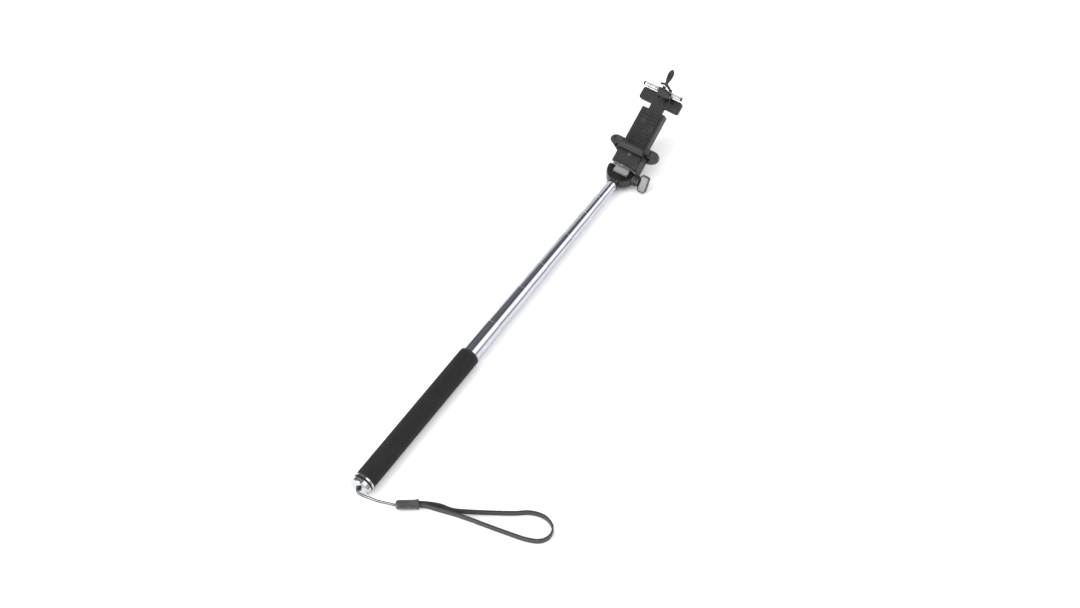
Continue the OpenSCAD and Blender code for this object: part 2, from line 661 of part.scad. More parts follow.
module upper_jaw() {
    roof = grip_s + 1;
    lip = front_n + 0.3;
    // half widths of the thumb paddle, at each distance above the axle
    paddle = [[7.5, 1.1], [8.6, 1.25], [10, 1.65], [12, 2.2], [14, 2.6], [16, 2.8], [18, 2.75],
        [19.6, 2.35], [20.8, 1.75], [21.7, 0.95], [22.2, 0]];
    function paddle_y(up) = 0.7 + 0.035 * (up - 7);
    color([0.1, 0.1, 0.105]) in_clamp() difference() {
        union() {
            // hook over the phone's upper edge
            translate([0, (jaw_lip_y[0] + jaw_y[1]) / 2, 0]) side_view(jaw_y[1] - jaw_lip_y[0]) {
                translate([axle_s, axle_n]) circle(hub_r);
                polygon([[roof, axle_n], [roof, lip], [grip_s - 3.2, lip], [grip_s - 3.2, lip + 1.4],
                    [grip_s - 2.8, lip + 1.8], [axle_s - 1, lip + 2], [axle_s + 1.2, lip - 0.2],
                    [axle_s + hub_r - 0.1, axle_n + 0.8], [axle_s, axle_n]]);
            }
            // neck of the lever
            translate([axle_s, -0.8, axle_n - 1.3]) cube([8.4, 3, 2.6]);
            // thumb paddle
            translate([axle_s, 0, axle_n - paddle_t / 2]) linear_extrude(paddle_t)
                polygon(concat([for (p = paddle) [p[0], paddle_y(p[0]) - p[1]]],
                    [for (i = [len(paddle) - 2 : -1 : 0]) [paddle[i][0], paddle_y(paddle[i][0]) + paddle[i][1]]]));
            // two horns
            wire([axle_s + 6.9, 1.6, axle_n], [axle_s + 6.2, 5.2, axle_n], 1);
            wire([axle_s + 7, 0.2, axle_n], [axle_s + 4.9, -3.4, axle_n], 1.1);
            wire([axle_s + 4.9, -3.4, axle_n], [axle_s + 3, -6.6, axle_n], 1.1);
            translate([axle_s + 3, -6.6, axle_n]) sphere(1.45, $fn = 24);
        }
        translate([axle_s, 0, axle_n]) across() cylinder(60, axle_r + 0.05, axle_r + 0.05, true);
        // sides, which lean to the right towards the lip
        translate([grip_s - 5, 0, 0]) rotate([90, 0, 90]) linear_extrude(20) {
            polygon([[jaw_y[0], 0], [jaw_y[0], axle_n + 2.6], [jaw_lip_y[0], lip - 0.6],
                [jaw_lip_y[0] - 1, lip - 0.6], [jaw_lip_y[0] - 1, 0]]);
            polygon([[jaw_y[1], axle_n + 2.6], [jaw_lip_y[1], lip + 2.1], [jaw_y[1] + 1, lip + 2.1],
                [jaw_y[1] + 1, axle_n + 2.6]]);
        }
        // slope that the spring's bridge runs down
        translate([axle_s, 0, axle_n + 2.2]) linear_extrude(20)
            polygon([[2.6, -1.8], [-3, jaw_lip_y[0] - 0.5], [8, jaw_lip_y[0] - 0.5], [8, -1.8]]);
    }
}

module upper_jaw_pad() color([0.05, 0.05, 0.05]) in_clamp()
    translate([grip_s, jaw_y[0] + 1, axle_n + 2])
        cube([0.98, 9, front_n - axle_n - 2 + 0.2]);

// ---------- wrist strap ----------

module strap_cord_1() color([0.12, 0.12, 0.12]) cord(cord_1_route);
module strap_cord_2() color([0.12, 0.12, 0.12]) cord(cord_2_route);

// Moulded sleeve that joins the cord to the band
module strap_sleeve() color([0.14, 0.14, 0.15])
    translate([sleeve_from[0], sleeve_from[1], sleeve_z]) rotate([0, 0, sleeve_angle])
    difference() {
        rotate([0, 90, 0]) rotate_extrude() {
            translate([0, 2.4]) square([4, sleeve_len - 4.6]);
            translate([0, 0]) square([1.8, 3]);
            intersection() {
                translate([1.6, 2.4]) circle(2.4, $fn = 48);
                square([5, 3]);
            }
            translate([0, sleeve_len - 2.4]) square([4.4, 2.4]);
        }
        translate([-1, 0, 0]) rotate([0, 90, 0]) cylinder(5.5, 1.35, 1.35, $fn = 32);
        translate([sleeve_len - 4, -1.6, -3.5]) cube([6, 3.2, 7]);
    }

// Flat webbing loop that stands on its edge
module strap_band() color([0.09, 0.09, 0.09]) sweep(band_route,
    [for (p = [[1, -0.8], [1, 0.8], [0.6, 1], [-0.6, 1], [-1, 0.8], [-1, -0.8], [-0.6, -1], [0.6, -1]])
        [-p[0] * band_t / 2, p[1] * band_w / 2]], 72);

grip();
end_cap();
end_plug();
strap_anchor();
tube_1();
tube_2();
tube_3();
tube_4();
tube_5();
tube_6();
tube_7();
slide_bush_2();
slide_bush_3();
slide_bush_4();
slide_bush_5();
slide_bush_6();
slide_bush_7();
head_disc();
head_pin();
pivot_bolt();
friction_washers();
wing_knob();
knob_insert();
tongue();
mount_stud();
pad_washer();
clamp_body();
thread_insert();
back_cover();
cover_screws();
stop_screw();
detent_leaf();
lower_jaw();
lower_jaw_pad();
jaw_screw();
back_pad();
slider();
jaw_axle();
axle_caps();
jaw_spring();
upper_jaw();
upper_jaw_pad();
strap_cord_1();
strap_cord_2();
strap_sleeve();
strap_band();
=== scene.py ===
"""The looks of a telescopic selfie stick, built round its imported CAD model. Metres."""

import json
import math

import bmesh
import bpy
from mathutils import Matrix, Vector


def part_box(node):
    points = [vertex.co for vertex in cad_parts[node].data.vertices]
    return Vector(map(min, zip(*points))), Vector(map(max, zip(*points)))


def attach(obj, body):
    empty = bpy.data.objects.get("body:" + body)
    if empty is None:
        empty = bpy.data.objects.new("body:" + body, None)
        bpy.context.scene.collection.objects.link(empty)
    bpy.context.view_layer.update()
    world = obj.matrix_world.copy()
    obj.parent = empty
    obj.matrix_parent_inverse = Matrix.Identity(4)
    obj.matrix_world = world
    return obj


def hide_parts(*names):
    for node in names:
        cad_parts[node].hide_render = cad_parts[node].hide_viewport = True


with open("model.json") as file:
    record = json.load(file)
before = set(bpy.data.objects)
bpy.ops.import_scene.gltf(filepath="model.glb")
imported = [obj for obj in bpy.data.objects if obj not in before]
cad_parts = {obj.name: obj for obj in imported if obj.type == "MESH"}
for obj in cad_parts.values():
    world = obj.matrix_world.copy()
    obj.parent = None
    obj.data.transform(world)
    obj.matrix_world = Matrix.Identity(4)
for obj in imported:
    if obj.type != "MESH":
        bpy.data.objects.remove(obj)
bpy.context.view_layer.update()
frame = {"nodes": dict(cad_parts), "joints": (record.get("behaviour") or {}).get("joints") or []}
nodes = frame["nodes"]
MM = 0.001

# The tilt pivot, and the clamp's own frame there: X up the phone, Y along it, Z out of its screen
PIVOT = Vector(next(j["pos_m"] for j in frame["joints"] if j["name"] == "tilt"))
TILT = math.radians(30)
CLAMP = Matrix.Translation(PIVOT) @ Matrix.Rotation(-TILT, 4, "Y")


# ---------- camera ----------

def make_camera():
    azimuth, elevation, roll = map(math.radians, (57.03, 53.52, 0.53))
    forward = Vector((math.sin(azimuth) * math.cos(elevation),
                      math.cos(azimuth) * math.cos(elevation), -math.sin(elevation)))
    level = forward.cross(Vector((0, 0, 1))).normalized()
    upright = level.cross(forward)
    right = level * math.cos(roll) + upright * math.sin(roll)
    up = upright * math.cos(roll) - level * math.sin(roll)
    data = bpy.data.cameras.new("camera")
    data.sensor_width, data.lens = 36, 53.33
    data.clip_start, data.clip_end = 0.05, 20
    camera = bpy.data.objects.new("camera", data)
    camera.matrix_world = Matrix((right, up, -forward)).transposed().to_4x4()
    camera.location = PIVOT + Vector((-0.8763, -0.4782, 1.1382))
    bpy.context.collection.objects.link(camera)
    bpy.context.scene.camera = camera


make_camera()


# ---------- shapes ----------

def spline(points, per_span):
    """Points of a smooth curve through these points."""
    points = [Vector(p) for p in points]
    last = len(points) - 1
    line = []
    for i in range(last):
        a, b, c, d = points[max(i - 1, 0)], points[i], points[i + 1], points[min(i + 2, last)]
        for k in range(per_span):
            u = k / per_span
            line.append(0.5 * (2 * b + (c - a) * u + (2 * a - 5 * b + 4 * c - d) * u * u
                               + (3 * b - a - 3 * c + d) * u ** 3))
    line.append(points[-1])
    return line


def evenly(line, step):
    """The same line with points a step apart."""
    lengths = [0]
    for a, b in zip(line, line[1:]):
        lengths.append(lengths[-1] + (b - a).length)
    count = max(2, round(lengths[-1] / step))
    out, k = [], 0
    for i in range(count + 1):
        at = lengths[-1] * i / count
        while k < len(line) - 2 and lengths[k + 1] < at:
            k += 1
        span = lengths[k + 1] - lengths[k]
        out.append(line[k].lerp(line[k + 1], (at - lengths[k]) / span if span else 0))
    return out


def add_object(name, mesh_builder, matrix=None, smooth=True):
    """An object from a bmesh."""
    mesh = bpy.data.meshes.new(name)
    if matrix is not None:
        mesh_builder.transform(matrix)
    bmesh.ops.recalc_face_normals(mesh_builder, faces=mesh_builder.faces)
    mesh_builder.to_mesh(mesh)
    mesh_builder.free()
    for polygon in mesh.polygons:
        polygon.use_smooth = smooth
    piece = bpy.data.objects.new(name, mesh)
    bpy.context.collection.objects.link(piece)
    return piece


def sweep(bm, line, outline, upright=False, closed_ends=True, uv=None):
    """Carries an outline along a line.

    outline(i, s) gives the section's points [across, up] at ring i, s metres along.
    """
    rings, s = [], 0
    up = None
    for i, p in enumerate(line):
        way = (line[min(i + 1, len(line) - 1)] - line[max(i - 1, 0)]).normalized()
        if i:
            s += (p - line[i - 1]).length
        if upright:
            side = way.cross(Vector((0, 0, 1))).normalized()
            up = side.cross(way)
        else:
            if up is None:
                up = way.orthogonal().normalized()
            side = way.cross(up).normalized()
            up = side.cross(way)
        rings.append((s, [bm.verts.new(p + side * q[0] + up * q[1]) for q in outline(i, s)]))
    layer = bm.loops.layers.uv.new("along") if uv and "along" not in bm.loops.layers.uv else (
        bm.loops.layers.uv.get("along") if uv else None)
    for (s0, a), (s1, b) in zip(rings, rings[1:]):
        n = len(a)
        for j in range(n):
            k = (j + 1) % n
            face = bm.faces.new((a[j], b[j], b[k], a[k]))
            if layer:
                for loop, value in zip(face.loops, ((s0, j), (s1, j), (s1, j + 1), (s0, j + 1))):
                    loop[layer].uv = (value[0] / uv, value[1] / n)
    if closed_ends:
        bm.faces.new(rings[0][1])
        bm.faces.new(rings[-1][1][::-1])


def circle(radius, sides):
    return [(radius * math.cos(2 * math.pi * j / sides), radius * math.sin(2 * math.pi * j / sides))
            for j in range(sides)]


# ---------- wrist strap ----------

CORD_D = 0.9 * MM
CORD_ROUTES = {
    "strap_cord_1": [(-245, 1.75, 9.35), (-248, 1.75, 9.35), (-251, 1.5, 9.5), (-252.5, -1.5, 9),
                     (-251.5, -6, 7), (-249.5, -11, 5), (-247.5, -15.5, 3), (-245.5, -20, 2),
                     (-244, -24, 2), (-243.5, -27.5, 3), (-242.5, -31, 4.5), (-240, -34.5, 4.5)],
    "strap_cord_2": [(-245, 0.75, 9.35), (-248, 0.75, 9.35), (-250.5, 0.5, 9.5), (-251, -2.5, 8.5),
                     (-249.5, -6.5, 6.5), (-247.5, -11, 4.5), (-246, -15.5, 3), (-244, -20, 2),
                     (-242.5, -24, 2), (-242, -27.5, 3), (-241.5, -30.5, 4.5), (-239, -34, 4.5)],
}
BAND_W, BAND_T = 6.8 * MM, 1.3 * MM
BAND_ROUTE = [(-232.5, -43.5, 4.5), (-230, -46.5, 4.5), (-226, -53, 4), (-222, -62, 3.5),
              (-220, -72, 3.5), (-215, -82, 3.5), (-205, -99, 3.5), (-195, -115, 3.5),
              (-187, -126, 3.5), (-184, -138, 3.5), (-188, -148, 3.5), (-196, -151, 3.5),
              (-204, -147, 3.5), (-209, -137, 3.5), (-213, -120, 3.5), (-217, -100, 3.5),
              (-221, -80, 3.5), (-226, -62, 3.5), (-229, -52, 4), (-232, -46.5, 4.5),
              (-233.5, -44.5, 4.5)]


def in_metres(points):
    return [Vector(p) * MM for p in points]


def make_strand(node):
    """A thin cord of three twisted yarns."""
    line = evenly(spline(in_metres(CORD_ROUTES[node]), 24), 0.16 * MM)

    def section(i, s):
        turn = s / (2.6 * MM) * 2 * math.pi
        out = []
        for j in range(15):
            a = 2 * math.pi * j / 15
            r = CORD_D / 2 * (0.89 + 0.13 * abs(math.cos(1.5 * (a + turn))))
            out.append((r * math.cos(a), r * math.sin(a)))
        return out

    bm = bmesh.new()
    sweep(bm, line, section, uv=1 * MM)
    strand = add_object(node + "_twisted", bm)
    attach(strand, "handle")
    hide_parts(node)
    return strand


def make_band():
    """Woven webbing that stands on its edge, with rounded selvedges and fine crosswise ribs."""
    line = evenly(spline(in_metres(BAND_ROUTE), 24), 0.3 * MM)
    half = []
    for k in range(15):
        y = -1 + 2 * k / 14
        thick = 0.86 + 0.14 * math.exp(-((abs(y) - 0.84) / 0.1) ** 2)
        thick *= math.sqrt(max(0, 1 - ((abs(y) - 0.9) / 0.1) ** 2)) if abs(y) > 0.9 else 1
        half.append((thick, y))
    outline = half + [(-x, y) for x, y in half[::-1] if abs(y) < 1]

    def section(i, s):
        rib = 1 + 0.05 * math.cos(2 * math.pi * s / (1.2 * MM))
        return [(-x * BAND_T / 2 * rib, y * BAND_W / 2) for x, y in outline]

    bm = bmesh.new()
    sweep(bm, line, section, upright=True, uv=1 * MM)
    band = add_object("strap_band_woven", bm)
    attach(band, "handle")
    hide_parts("strap_band")
    return band


strands = [make_strand(node) for node in CORD_ROUTES]
band = make_band()


# ---------- material nodes ----------

class Paint:
    """A procedural material, with short names for the nodes that it is made of."""

    def __init__(self, name, **sockets):
        self.material = bpy.data.materials.new(name)
        self.material.use_nodes = True
        self.tree = self.material.node_tree
        self.shader = next(n for n in self.tree.nodes if n.type == "BSDF_PRINCIPLED")
        for socket, value in sockets.items():
            self.shader.inputs[socket.replace("_", " ")].default_value = value
        self.where = self.node("ShaderNodeTexCoord").outputs["Object"]

    def node(self, kind, **settings):
        made = self.tree.nodes.new(kind)
        for key, value in settings.items():
            setattr(made, key, value)
        return made

    def put(self, socket, value):
        if isinstance(value, bpy.types.NodeSocket):
            self.tree.links.new(value, socket)
        else:
            socket.default_value = value

    def math(self, operation, *values, clamp=False):
        made = self.node("ShaderNodeMath", operation=operation, use_clamp=clamp)
        for socket, value in zip(made.inputs, values):
            self.put(socket, value)
        return made.outputs[0]

    def split(self, vector):
        made = self.node("ShaderNodeSeparateXYZ")
        self.put(made.inputs[0], vector)
        return made.outputs

    def stretch(self, scale, vector=None, turn=(0, 0, 0), shift=(0, 0, 0)):
        made = self.node("ShaderNodeMapping")
        self.put(made.inputs["Vector"], vector or self.where)
        made.inputs["Scale"].default_value = scale
        made.inputs["Rotation"].default_value = turn
        made.inputs["Location"].default_value = shift
        return made.outputs[0]

    def noise(self, scale, detail=3, roughness=0.55, vector=None, distortion=0):
        made = self.node("ShaderNodeTexNoise")
        self.put(made.inputs["Vector"], vector or self.where)
        made.inputs["Scale"].default_value = scale
        made.inputs["Detail"].default_value = detail
        made.inputs["Roughness"].default_value = roughness
        made.inputs["Distortion"].default_value = distortion
        return made.outputs["Fac"]

    def cells(self, scale, vector=None, feature="F1"):
        made = self.node("ShaderNodeTexVoronoi", feature=feature)
        self.put(made.inputs["Vector"], vector or self.where)
        made.inputs["Scale"].default_value = scale
        return made.outputs["Distance"]

    def span(self, value, low, high, to_low=0, to_high=1, smooth=True):
        made = self.node("ShaderNodeMapRange", interpolation_type="SMOOTHSTEP" if smooth else "LINEAR")
        self.put(made.inputs["Value"], value)
        for socket, number in zip(("From Min", "From Max", "To Min", "To Max"), (low, high, to_low, to_high)):
            made.inputs[socket].default_value = number
        return made.outputs["Result"]

    def mix(self, factor, a, b, blend="MIX"):
        made = self.node("ShaderNodeMix", data_type="RGBA", blend_type=blend)
        self.put(made.inputs[0], factor)
        for socket, value in ((made.inputs[6], a), (made.inputs[7], b)):
            if isinstance(value, (tuple, list)):
                value = (*value[:3], 1)
            self.put(socket, value)
        return made.outputs[2]

    def bump(self, height, depth, strength=1, below=None):
        made = self.node("ShaderNodeBump")
        self.put(made.inputs["Height"], height)
        made.inputs["Distance"].default_value = depth
        made.inputs["Strength"].default_value = strength
        if below is not None:
            self.put(made.inputs["Normal"], below)
        return made.outputs[0]

    def rounded(self, radius):
        made = self.node("ShaderNodeBevel", samples=6)
        made.inputs["Radius"].default_value = radius
        return made.outputs[0]

    def about_axis(self, node):
        """Places along X, and distances from the middle line of a round node that lies along X."""
        x, y, z = self.split(self.where)
        low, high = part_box(node)
        centre = (low + high) / 2
        dy, dz = self.math("SUBTRACT", y, centre.y), self.math("SUBTRACT", z, centre.z)
        squares = self.math("ADD", self.math("MULTIPLY", dy, dy), self.math("MULTIPLY", dz, dz))
        return x, self.math("SQRT", squares)

    def finish(self, colour=None, roughness=None, normal=None, **links):
        for socket, value in (("Base Color", colour), ("Roughness", roughness), ("Normal", normal)):
            if value is not None:
                self.put(self.shader.inputs[socket], value)
        for socket, value in links.items():
            self.put(self.shader.inputs[socket.replace("_", " ")], value)
        return self.material


def plastic(name, dark, light, low=0.34, high=0.5, grain=0.012, edge=0.25, patch=90, **sockets):
    """Moulded plastic: a fine grain, faint flow marks and handling, and softened edges."""
    p = Paint(name, **sockets)
    flow = p.noise(patch, 4, 0.6)
    speck = p.noise(2600, 2, 0.6)
    colour = p.mix(p.span(flow, 0.35, 0.68), dark, light)
    colour = p.mix(p.span(speck, 0.45, 0.75, 0, 0.35), colour, [c * 1.7 + 0.004 for c in light])
    rough = p.math("ADD", p.span(flow, 0.3, 0.7, low, high), p.span(speck, 0.3, 0.7, -0.04, 0.05))
    normal = p.bump(p.cells(2200), grain * MM, 0.6, p.rounded(edge * MM) if edge else None)
    normal = p.bump(p.noise(160, 2), 0.03 * MM, 0.35, normal)
    return p.finish(colour, rough, normal)


def brass(name, base):
    p = Paint(name, Metallic=1)
    turned = p.noise(900, 2, 0.6, p.stretch((6, 1, 1)))
    colour = p.mix(p.span(p.noise(400, 3), 0.3, 0.7), base, [c * 0.72 for c in base])
    return p.finish(colour, p.span(turned, 0.3, 0.7, 0.22, 0.38), p.bump(turned, 0.01 * MM, 0.6))


def steel(name, base, low=0.18, high=0.34):
    p = Paint(name, Metallic=1)
    marks = p.noise(1500, 3, 0.6)
    colour = p.mix(p.span(p.noise(300, 2), 0.3, 0.7), base, [c * 0.8 for c in base])
    return p.finish(colour, p.span(marks, 0.3, 0.7, low, high), p.bump(marks, 0.008 * MM, 0.5))


TUBES = 7
MOUTH_LIP = 0.3 * MM   # how far the lip reaches along the tube
WALL_SHOWN = 0.2 * MM  # the outer part of the wall, which the next tube inside doesn't reach


def chrome_tube():
    """Polished chrome with fine marks along the tube, and at each mouth a rolled lip, rougher and painted paler
    as a painted highlight on the rolled edge.
    """
    p = Paint("tube_chrome", Metallic=1)
    along = p.noise(1200, 2, 0.6, p.stretch((0.02, 1, 1)))
    hands = p.noise(55, 4, 0.6, distortion=0.6)
    colour = p.mix(p.span(hands, 0.35, 0.7), (0.51, 0.523, 0.58), (0.465, 0.478, 0.53))
    rough = p.math("ADD", p.span(hands, 0.35, 0.75, 0.03, 0.07), p.span(along, 0.45, 0.8, 0, 0.05))
    x, radius = p.about_axis("tube_1")
    for k in range(1, TUBES + 1):
        low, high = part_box("tube_%d" % k)
        lip = p.math("MULTIPLY", p.math("GREATER_THAN", x, high.x - MOUTH_LIP),
                     p.math("GREATER_THAN", radius, (high.z - low.z) / 2 - WALL_SHOWN))
        # the lip is painted paler than the chrome: a painted highlight on the rolled edge; the rougher finish
        # below is its own
        colour = p.mix(lip, colour, (0.8, 0.805, 0.84))
        rough = p.math("ADD", rough, p.math("MULTIPLY", lip, 0.3))
    return p.finish(colour, rough, p.bump(along, 0.002 * MM, 0.25))


def chrome_cap():
    """Polished chrome with a black band near the grip: partly the cap's own band, and widened as a painted
    reflection of the dark grip in the chrome.
    """
    p = Paint("cap_chrome", Metallic=1)
    x, y, z = p.split(p.where)
    low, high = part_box("end_cap")
    # the painted black band, 2 mm wide: partly the cap's own band, partly a painted reflection of the grip
    band_from, band_to = high.x - 3.6 * MM, high.x - 1.6 * MM
    inside = p.math("MULTIPLY", p.math("GREATER_THAN", x, band_from), p.math("LESS_THAN", x, band_to))
    marks = p.noise(700, 3, 0.6)
    colour = p.mix(inside, p.mix(p.span(marks, 0.3, 0.7), (0.56, 0.57, 0.6), (0.5, 0.51, 0.54)),
                   (0.012, 0.012, 0.013))
    rough = p.math("ADD", p.span(marks, 0.3, 0.7, 0.05, 0.12), p.math("MULTIPLY", inside, 0.3))
    return p.finish(colour, rough, p.bump(marks, 0.002 * MM, 0.3),
                    Metallic=p.math("SUBTRACT", 1, p.math("MULTIPLY", inside, 0.9)))


def grip_rubber():
    """Matt ribbed rubber: ridge tops painted paler as a painted highlight and grooves painted darker as painted
    shade, with random blotches on the ridge tops and fine pale specks.
    """
    p = Paint("grip_rubber", Specular_IOR_Level=0.25)
    low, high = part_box("grip")
    radius = p.about_axis("grip")[1]
    outer = (high.z - low.z) / 2
    # painted highlight on the ridge tops and painted shade in the grooves, picked by distance from the axis
    ridge_highlight_groove_shade = p.span(radius, outer - 0.36 * MM, outer - 0.04 * MM)
    worn = p.noise(240, 4, 0.65, p.stretch((0.35, 1, 1)))
    speck = p.noise(3200, 2, 0.7)
    colour = p.mix(ridge_highlight_groove_shade, (0.004, 0.004, 0.0043), p.mix(p.span(worn, 0.35, 0.7), (0.012, 0.012, 0.0127),
                                                      (0.022, 0.022, 0.023)))
    colour = p.mix(p.span(speck, 0.5, 0.8, 0, 0.5), colour, (0.035, 0.035, 0.036))
    rough = p.span(worn, 0.3, 0.7, 0.52, 0.68)
    normal = p.bump(speck, 0.03 * MM, 0.6)
    return p.finish(colour, rough, normal)


def woven():
    """Black polyester webbing: a chevron of yarns, paler where the yarns cross over."""
    p = Paint("band_webbing", Sheen_Weight=0.25, Sheen_Roughness=0.4)
    u, v, _ = p.split(p.node("ShaderNodeUVMap", uv_map="along").outputs[0])
    across = p.math("MULTIPLY", v, 27)
    chevron = p.math("PINGPONG", across, 3.4)
    phase = p.math("MULTIPLY", p.math("ADD", p.math("MULTIPLY", u, 0.83), p.math("MULTIPLY", chevron, 0.5)),
                   2 * math.pi)
    yarn = p.math("ADD", p.math("MULTIPLY", p.math("SINE", phase), 0.5), 0.5)
    lines = p.math("ADD", p.math("MULTIPLY", p.math("SINE", p.math("MULTIPLY", across, 2 * math.pi)), 0.5), 0.5)
    height = p.math("ADD", p.math("MULTIPLY", yarn, 0.7), p.math("MULTIPLY", lines, 0.3))
    fluff = p.noise(4200, 3, 0.7)
    colour = p.mix(height, (0.003, 0.003, 0.0032), (0.017, 0.017, 0.018))
    colour = p.mix(p.span(fluff, 0.5, 0.85, 0, 0.5), colour, (0.03, 0.03, 0.031))
    normal = p.bump(p.math("ADD", height, p.math("MULTIPLY", fluff, 0.4)), 0.12 * MM, 0.8)
    return p.finish(colour, p.span(height, 0, 1, 0.85, 0.62), normal)


def twisted_nylon():
    p = Paint("cord_nylon", Sheen_Weight=0.2)
    u, v, _ = p.split(p.node("ShaderNodeUVMap", uv_map="along").outputs[0])
    fibre = p.math("SINE", p.math("MULTIPLY", p.math("ADD", p.math("MULTIPLY", u, 2.2),
                                                    p.math("MULTIPLY", v, 9)), 2 * math.pi))
    fluff = p.noise(5000, 2, 0.7)
    height = p.math("ADD", p.math("MULTIPLY", fibre, 0.5), fluff)
    colour = p.mix(p.span(height, 0, 1), (0.008, 0.008, 0.009), (0.05, 0.05, 0.052))
    return p.finish(colour, p.span(fluff, 0.3, 0.7, 0.5, 0.72), p.bump(height, 0.03 * MM, 0.7))


def rubber(name, base):
    p = Paint(name, Specular_IOR_Level=0.3)
    speck = p.noise(2400, 3, 0.7)
    dust = p.noise(140, 4, 0.6)
    colour = p.mix(p.span(dust, 0.4, 0.75), base, [c * 1.9 + 0.004 for c in base])
    return p.finish(colour, p.span(speck, 0.3, 0.7, 0.6, 0.82),
                    p.bump(speck, 0.03 * MM, 0.6, p.rounded(0.15 * MM)))


def knob_plastic():
    """Grained black plastic, with a smooth panel let into each face of the wing, painted paler: partly its own
    tone, partly a painted reflection of the low light on the left.
    """
    p = Paint("knob_plastic")
    lean = math.radians(58)  # how the wing stands about the bolt
    turn = Matrix.Rotation(lean, 3, "Y")
    x, y, _ = p.split(p.stretch((1, 1, 1), turn=(0, lean, 0), shift=-(turn @ PIVOT)))
    corner = 1.7 * MM
    past = []
    for value, middle, half in ((x, 0, 7.3 * MM), (y, -24.2 * MM, 3.4 * MM)):
        away = p.math("ABSOLUTE", p.math("SUBTRACT", value, middle))
        past.append(p.math("MAXIMUM", p.math("SUBTRACT", away, half - corner), 0))
    squares = [p.math("MULTIPLY", away, away) for away in past]
    edge = p.math("SQRT", p.math("ADD", *squares))
    panel = p.span(edge, corner - 0.15 * MM, corner + 0.1 * MM, 1, 0)
    speck = p.noise(2800, 2, 0.7)
    rim = p.mix(p.span(speck, 0.45, 0.75, 0, 0.4), (0.012, 0.012, 0.0125), (0.03, 0.03, 0.031))
    # the panel's paler colour is partly a painted reflection of the low left light
    face = p.mix(p.span(speck, 0.35, 0.7), (0.07, 0.063, 0.059), (0.13, 0.118, 0.112))
    rough = p.mix(panel, (0.42, 0.42, 0.42), (0.24, 0.24, 0.24))
    normal = p.bump(speck, 0.012 * MM, 0.6, p.rounded(0.2 * MM))
    normal = p.bump(p.math("SUBTRACT", 1, panel), 0.25 * MM, 0.8, normal)
    return p.finish(p.mix(panel, rim, face), p.split(rough)[0], normal)


def tongue_plastic():
    """Polished black plastic painted dark grey as a painted reflection of the light it catches, with faint sink
    marks.
    """
    p = Paint("tongue_plastic", Coat_Weight=0.6, Coat_Roughness=0.1)
    flow = p.noise(120, 3, 0.6)
    speck = p.noise(2400, 2, 0.6)
    # dark grey base: a painted reflection, paler than the black plastic itself
    colour = p.mix(p.span(flow, 0.35, 0.68), (0.05, 0.048, 0.05), (0.085, 0.082, 0.086))
    colour = p.mix(p.span(speck, 0.5, 0.8, 0, 0.4), colour, (0.14, 0.135, 0.14))
    return p.finish(colour, p.span(flow, 0.3, 0.7, 0.17, 0.25),
                    p.bump(flow, 0.05 * MM, 0.3, p.rounded(0.25 * MM)))


MATERIALS = {
    "grip_rubber": grip_rubber(),
    "cap_chrome": chrome_cap(),
    "tube_chrome": chrome_tube(),
    "bush_brass": brass("bush_brass", (0.72, 0.5, 0.22)),
    "inner_plastic": plastic("inner_plastic", (0.012, 0.012, 0.013), (0.02, 0.02, 0.021)),
    "head_plastic": plastic("head_plastic", (0.004, 0.004, 0.0042), (0.008, 0.008, 0.0085), 0.24, 0.34,
                            grain=0.005, Specular_IOR_Level=0.45),
    "tongue_plastic": tongue_plastic(),
    "knob_plastic": knob_plastic(),
    "clamp_plastic": plastic("clamp_plastic", (0.004, 0.004, 0.0045), (0.022, 0.022, 0.0235), 0.34, 0.5,
                             patch=230, Specular_IOR_Level=0.28),
    "jaw_plastic": plastic("jaw_plastic", (0.006, 0.006, 0.0065), (0.018, 0.018, 0.0195), 0.3, 0.44, patch=160,
                           Specular_IOR_Level=0.34),
    "pad_rubber": rubber("pad_rubber", (0.014, 0.014, 0.015)),
    "pin_brass": brass("pin_brass", (0.3, 0.22, 0.16)),
    "insert_brass": brass("insert_brass", (0.75, 0.54, 0.24)),
    "screw_steel": steel("screw_steel", (0.1, 0.1, 0.105), 0.36, 0.5),
    "spring_steel": steel("spring_steel", (0.86, 0.87, 0.9), 0.08, 0.16),
    "washer_nylon": plastic("washer_nylon", (0.62, 0.6, 0.54), (0.7, 0.68, 0.62), 0.4, 0.55),
    "cord_nylon": twisted_nylon(),
    "sleeve_plastic": plastic("sleeve_plastic", (0.03, 0.03, 0.032), (0.048, 0.048, 0.051), 0.18, 0.28,
                              grain=0.004),
    "band_webbing": woven(),
}


def dress(piece, slot_name):
    piece.data.materials.clear()
    piece.data.materials.append(MATERIALS[slot_name])


for name, node in nodes.items():
    for slot in node.material_slots:
        key = slot.material.name.split(".")[0]
        slot.link = "OBJECT"
        slot.material = MATERIALS[key]
for strand in strands:
    dress(strand, "cord_nylon")
dress(band, "band_webbing")


# ---------- spring ----------

AXLE_S, AXLE_N = 85.8, 8.5
COIL_R, WIRE_R = 1.8, 0.4


def about_axle(up, out, y):
    return Vector((AXLE_S + up, y, AXLE_N + out)) * MM


def helix(y_from, y_to, turns, end):
    """A coil that starts straight above the axle and ends `end` degrees below that, `turns` whole turns on."""
    total = math.radians(360 * turns + end)
    count = turns * 28
    return [about_axle(COIL_R * math.cos(total * i / count), -COIL_R * math.sin(total * i / count),
                       y_from + (y_to - y_from) * i / count) for i in range(count + 1)]


